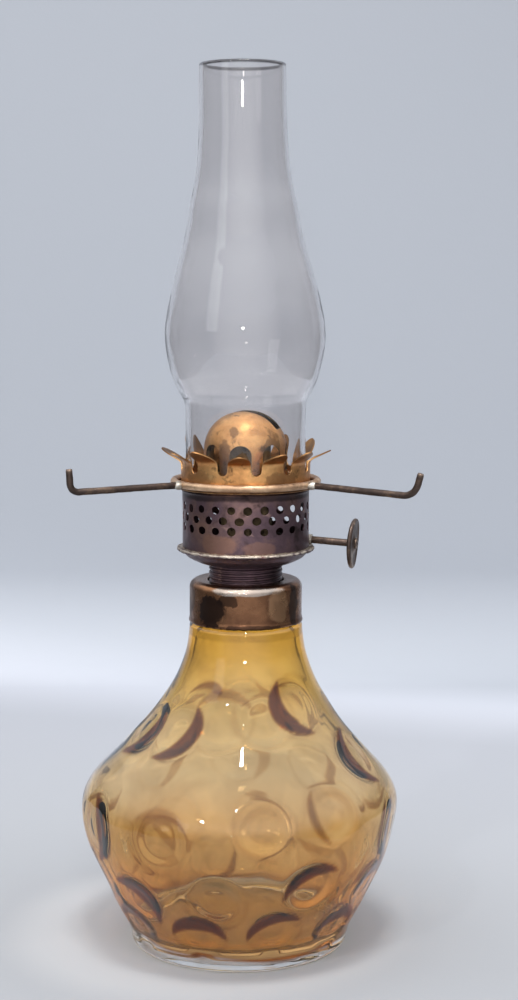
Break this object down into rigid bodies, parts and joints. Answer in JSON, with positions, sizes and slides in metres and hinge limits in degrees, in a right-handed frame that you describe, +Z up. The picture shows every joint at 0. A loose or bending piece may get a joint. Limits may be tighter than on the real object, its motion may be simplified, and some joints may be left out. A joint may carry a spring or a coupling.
{
  "type": "oil lamp",
  "caption": "Small table oil lamp: round pressed glass font, flat-wick brass burner with side thumbwheel, clear glass chimney and a swivelling three-arm shade holder.",
  "frame": {"origin": "centre of the flat base of the font", "axes": "+Z up the lamp's axis, through the chimney; +X towards the thumbwheel's side; the wick's width and the shaft lie 13 degrees clockwise of +X seen from above"},
  "size_m": [0.0911, 0.0963, 0.2378],
  "materials": {
    "amber_glass": "clear glass cased over an amber layer, pressed coin dots",
    "clear_glass": "clear, polished",
    "gilt_brass": "worn golden brass with brown tarnish",
    "dark_brass": "dark purple-brown patina",
    "collar_brass": "dull brass with black tarnish and a rubbed shoulder",
    "inner_brass": "dull, sooty",
    "ring_brass": "grey-brown, rubbed bright",
    "bronze_wire": "dark bronze patina",
    "solder": "dull lead-tin solder",
    "plaster": "chalky plaster",
    "cotton": "woven cotton, charred at the top"
  },
  "bodies": {
    "font_body": {"font": "amber_glass", "collar": "collar_brass", "collar_plaster": "plaster"},
    "burner": {"base_cup": "dark_brass", "tube_plate": "inner_brass", "air_drum": "dark_brass", "air_plate": "inner_brass", "crown": "gilt_brass", "dome": "gilt_brass", "wick_tube": "inner_brass", "vent_tube": "inner_brass", "spur_cover": "inner_brass", "shaft_bushing": "solder"},
    "wick_raiser": {"spindle": "bronze_wire", "spur_wheel_left": "inner_brass", "spur_wheel_right": "inner_brass", "thumbwheel": "bronze_wire", "wheel_rivet": "bronze_wire"},
    "wick_strip": {"wick": "cotton"},
    "shade_holder": {"shade_ring": "ring_brass", "shade_arm_left": "bronze_wire", "shade_arm_right": "bronze_wire", "shade_arm_rear": "bronze_wire", "arm_solder": "solder"},
    "chimney_glass": {"chimney": "clear_glass"}
  },
  "joints": [
    {"name": "burner_unscrew", "type": "slide", "parent": "font_body", "child": "burner", "axis": [0, 0, 1], "range_m": [-0.004, 0.045]},
    {"name": "wick_knob", "type": "hinge", "parent": "burner", "child": "wick_raiser", "pos_m": [0.00109, 0.00473, 0.11206], "axis": [-0.9726, 0.2245, 0.061], "range_deg": [-150, 120]},
    {"name": "wick_travel", "type": "slide", "parent": "burner", "child": "wick_strip", "axis": [0, 0, 1], "range_m": [-0.0091, 0.0073]},
    {"name": "shade_swivel", "type": "hinge", "parent": "burner", "child": "shade_holder", "pos_m": [0, 0, 0.1272], "axis": [0, 0, 1], "continuous": true},
    {"name": "chimney_lift", "type": "slide", "parent": "burner", "child": "chimney_glass", "axis": [0, 0, 1], "range_m": [0, 0.03]}
  ],
  "couplings": [
    {"joint": "wick_travel", "follows": "wick_knob", "m_per_rad": 0.00345}
  ]
}
